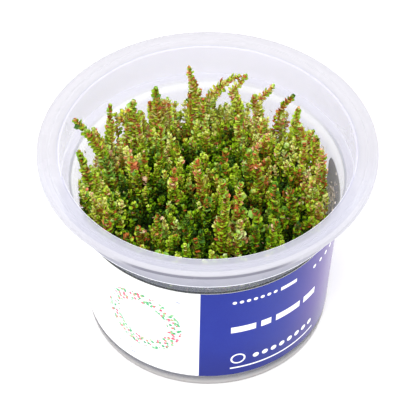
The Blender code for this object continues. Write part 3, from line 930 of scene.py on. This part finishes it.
def reached(foot, shoulder, tip, chance):
    """The points of a shoot from the gel up, swaying a little between its foot and its tip."""
    low = np.array([foot[0] * MAT_TAPER, foot[1] * MAT_TAPER, GEL_TOP + 0.2])
    middle = 0.5 * (low + foot) + np.array([*chance.normal(0.0, SWAY_LOW, 2), 0.0])
    return [low, middle, foot, shoulder + np.array([*chance.normal(0.0, SWAY_HIGH, 2), 0.0]), tip]


def dip_at(spot):
    """How far the stand's top lies under its common level at a place, in millimetres."""
    return swells_at(spot, DIPS)


leafage, shader, place = finish("rotala_leaf", IOR=1.4, Specular_IOR_Level=0.15)
tones = place.node("ShaderNodeAttribute", {"attribute_name": "tone"}, {})
bloom = place.node("ShaderNodeAttribute", {"attribute_name": "tone"}, {}, out=3)
red, light, edge = (tones.node("ShaderNodeSeparateColor", {}, {0: tones}, out=k) for k in range(3))
fleck = place.noise(1500.0, 2.0)
# Leaves lighter at the rim and darker in the upper middle: painted rim highlight
shade = light + (fleck - 0.5) * 0.3 + (edge - 0.5) * 0.14
greens = shade.node("ShaderNodeValToRGB", {"stops": [
    (0.0, (0.004, 0.020, 0.001)), (0.25, (0.045, 0.150, 0.001)), (0.5, (0.285, 0.540, 0.004)),
    (0.75, (0.620, 0.800, 0.055)), (1.0, (0.960, 1.000, 0.380))]}, {0: shade})
rusts = shade.node("ShaderNodeValToRGB", {"stops": [
    (0.0, (0.030, 0.012, 0.001)), (0.25, (0.190, 0.046, 0.004)), (0.5, (0.540, 0.125, 0.025)),
    (0.75, (0.780, 0.240, 0.110)), (1.0, (0.920, 0.540, 0.380))]}, {0: shade})
blooms = shade.node("ShaderNodeValToRGB", {"stops": [
    (0.0, (0.010, 0.050, 0.008)), (0.4, (0.160, 0.400, 0.060)), (0.7, (0.470, 0.740, 0.240)),
    (1.0, (0.760, 0.920, 0.560))]}, {0: shade})
ripe = (red * 1.1 + edge * (red * 0.4 + 0.10) + (place.noise(500.0, 2.0) - 0.5) * 0.4).rising(0.15, 0.95)
ripe = ripe * (shade.rising(0.0, 0.45) * 0.6 + 0.4)
ripe.blend((bloom * 0.75).blend(greens, blooms), rusts).into(shader, "Base Color")
(fleck * 0.25 + 0.30).into(shader, "Roughness")

# The shoots of each plantlet: first those of its solid, some of them bent as in the photo
chance = np.random.default_rng(21)
planted = {}
for name, node in sorted(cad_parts.items()):
    if name.startswith("plantlet_"):
        planted[name] = [reached(*sunk(*spike), chance) for spike in spikes(node)]
middles = {name: np.mean([shoot[2][:2] for shoot in shoots], axis=0) for name, shoots in planted.items()}
upright = [(name, k) for name, shoots in planted.items() for k in range(len(shoots))]
for row in BENT:
    end = np.array(row[-1])
    home, place_in = min(upright, key=lambda at: np.linalg.norm(planted[at[0]][at[1]][-1] - end))
    upright.remove((home, place_in))
    low = planted[home][place_in][0]
    planted[home][place_in] = [low, np.array([*(0.5 * (low[:2] + row[0][:2])), 0.5 * (low[2] + row[0][2])])]
    planted[home][place_in] += [np.array(point, dtype=float) for point in row]

for shoots in planted.values():
    for shoot in shoots:
        if shoot[-1][2] < TALL_FROM:
            shoot[:] = [kept_in(point) for point in shoot]

# Then companions close to them, more round the tall ones
leaders = [(name, shoot) for name, shoots in planted.items() for shoot in shoots]
leader_feet = np.array([shoot[2][:2] for _, shoot in leaders])
feet = leader_feet.copy()
for name, leader in leaders:
    tall = leader[-1][2] > TALL_FROM
    companions = 2 + int(leader[2][1] > BACK_FROM) if tall else int(leader[2][1] < BACK_FROM)
    for _ in range(companions):
        turn = chance.uniform(0.0, FULL_TURN)
        aside = COMPANION_OFF * np.array([math.cos(turn), math.sin(turn), 0.0])
        drop = chance.uniform(2.5, 9.5) if tall else chance.uniform(0.5, 2.5)
        path = even_path(leader[2:], 0.8)
        path = path[path[:, 2] < max(leader[-1][2] - drop, leader[2][2] + 2.0)]
        shoot = [path[0] + aside, path[len(path) // 2] + 0.8 * aside, path[-1] + 0.7 * aside]
        planted[name].append([leader[0] + aside, 0.5 * (leader[0] + shoot[0]) + aside] + shoot)
        feet = np.vstack([feet, shoot[0][:2]])

# Then short shoots wherever there is room left, each at home in the nearest plantlet
for _ in range(FILL_TRIES):
    far = MAT_RADIUS * math.sqrt(chance.random())
    turn = chance.uniform(0.0, FULL_TURN)
    foot = np.array([far * math.cos(turn), far * math.sin(turn)])
    if far > edge_at(foot):
        continue
    if np.min(np.hypot(*(feet - foot).T)) < FILL_SPACING:
        continue
    feet = np.vstack([feet, foot])
    spans = np.hypot(*(leader_feet - foot).T)
    leader = leaders[int(np.argmin(spans))][1]
    rearward = max(0.0, foot[1] - BACK_FROM) * min(1.0, abs(foot[0] - 4.0) / 15.0)
    level = FILL_HIGH - DOME_SLOPE * max(0.0, far - DOME_FROM) - BACK_SLOPE * rearward
    risen = min(3.0 if foot[1] < BACK_FROM else 1.5, max(-1.5, 0.5 * (leader[-1][2] - level)))
    top = level + risen - 1.2 * max(0.0, np.min(spans) - 1.5)
    top = max(FILL_LOW, top + chance.normal(0.0, 1.2) - dip_at(foot))
    share = min(1.0, (top - FILL_FOOT) / (leader[-1][2] - FILL_FOOT))
    beside = leader[2][:2] + share * (leader[-1][:2] - leader[2][:2])
    tip = np.array([*(foot + FILL_LEAN * (beside - foot) + chance.normal(0.0, 0.35, 2)), top])
    base = np.array([*foot, top - 6.0])
    home = min(middles, key=lambda name: np.linalg.norm(middles[name] - foot))
    planted[home].append(reached(base, 0.4 * base + 0.6 * tip, tip, chance))
for row in BESIDE:
    home = min(middles, key=lambda name: np.linalg.norm(middles[name] - row[0][:2]))
    planted[home].append([np.array(point, dtype=float) for point in row])

# Every shoot is leafy for some way down from its tip, and where the back wall shows it, all the way
for name, shoots in planted.items():
    growth = Growth()
    for points in shoots:
        foot = points[min(2, len(points) - 1)]
        far = math.hypot(foot[0], foot[1])
        leafy = LEAFY_FILL if points[-1][2] < TALL_FROM else LEAFY_TALL
        if far > AT_WALL and foot[1] > WALL_SHOWS_FROM:
            leafy = LEAFY_AT_WALL
        elif far < AWAY_FROM_WALL:
            level = points[-1][2] - leafy - 2.0
            path = even_path(points, 1.0)
            points = [point for point in points if point[2] > level + 1.0]
            points = [path[np.argmin(np.abs(path[:, 2] - level))]] + points
        # Painted shade and light: a shoot's leaves are darker where it stands in a dip and lighter on a swell
        dip = dip_at(foot)
        dimmed = DIM_DIP if dip > 0.0 else DIM_SWELL
        if leafy == LEAFY_TALL or foot[1] > FAR_BACK:
            dimmed = DIM_TALL
        grow_shoot(growth, points, chance, leafy, dimmed * dip)
    plantlet = bpy.data.objects.new(name + "_shoots", growth.mesh(name + "_shoots"))
    plantlet.data.materials.append(leafage)
    bpy.context.scene.collection.objects.link(plantlet)
    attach(plantlet, "root")
    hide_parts(name)


# The table it stands on, the light tent and the camera: a plain white floor, a white surround with
# one large soft lamp high in front and a smaller one behind, and a long lens looking down on the cup.

FLOOR_SPAN = 4.0
FLOOR_GAP = 0.0002
TENT_COLOUR = (0.985, 0.985, 1.02, 1.0)
TENT_STRENGTH = 1.16
LAMP_AIM = Vector((0.0, 0.0, 0.04))
VIEW_ASIDE = 0.0001
VIEW_HEIGHT = 0.03885
VIEW_ELEVATION = math.radians(46.92)
VIEW_DISTANCE = 0.6614
LENS = 190.385

table = bmesh.new()
bmesh.ops.create_grid(table, x_segments=8, y_segments=8, size=0.5 * FLOOR_SPAN)
tabletop, shader, place = finish("white_table", Roughness=0.9)
place.noise(6.0, 2.0).blend((0.96, 0.96, 0.96), (0.98, 0.98, 0.98)).into(shader, "Base Color")
mesh = bpy.data.meshes.new("table_top")
table.to_mesh(mesh)
table.free()
mesh.materials.append(tabletop)
floor = bpy.data.objects.new("table_top", mesh)
floor.location.z = -FLOOR_GAP
bpy.context.scene.collection.objects.link(floor)

surround = bpy.data.worlds.new("light_tent")
surround.use_nodes = True
surround.node_tree.nodes["Background"].inputs["Color"].default_value = TENT_COLOUR
surround.node_tree.nodes["Background"].inputs["Strength"].default_value = TENT_STRENGTH
bpy.context.scene.world = surround
for name, spot, span, power, colour in (
        ("front_lamp", (-0.2, -0.6, 1.1), 0.45, 8.0, (1.0, 0.99, 0.97)),
        ("back_lamp", (0.5, 0.6, 0.9), 0.4, 3.0, (1.0, 1.0, 1.0))):
    lamp = bpy.data.lights.new(name, "AREA")
    lamp.size = span
    lamp.energy = power
    lamp.color = colour
    holder = bpy.data.objects.new(name, lamp)
    holder.location = spot
    holder.rotation_euler = (LAMP_AIM - Vector(spot)).to_track_quat("-Z", "Y").to_euler()
    bpy.context.scene.collection.objects.link(holder)

eye = bpy.data.cameras.new("camera")
eye.lens = LENS
eye.sensor_width = 36.0
eye.clip_start = 0.01
camera = bpy.data.objects.new("camera", eye)
camera.location = (VIEW_ASIDE, -VIEW_DISTANCE * math.cos(VIEW_ELEVATION),
                   VIEW_HEIGHT + VIEW_DISTANCE * math.sin(VIEW_ELEVATION))
camera.rotation_euler = (0.5 * math.pi - VIEW_ELEVATION, 0.0, 0.0)
bpy.context.scene.collection.objects.link(camera)
bpy.context.scene.camera = camera
bpy.context.scene.view_settings.view_transform = "Standard"
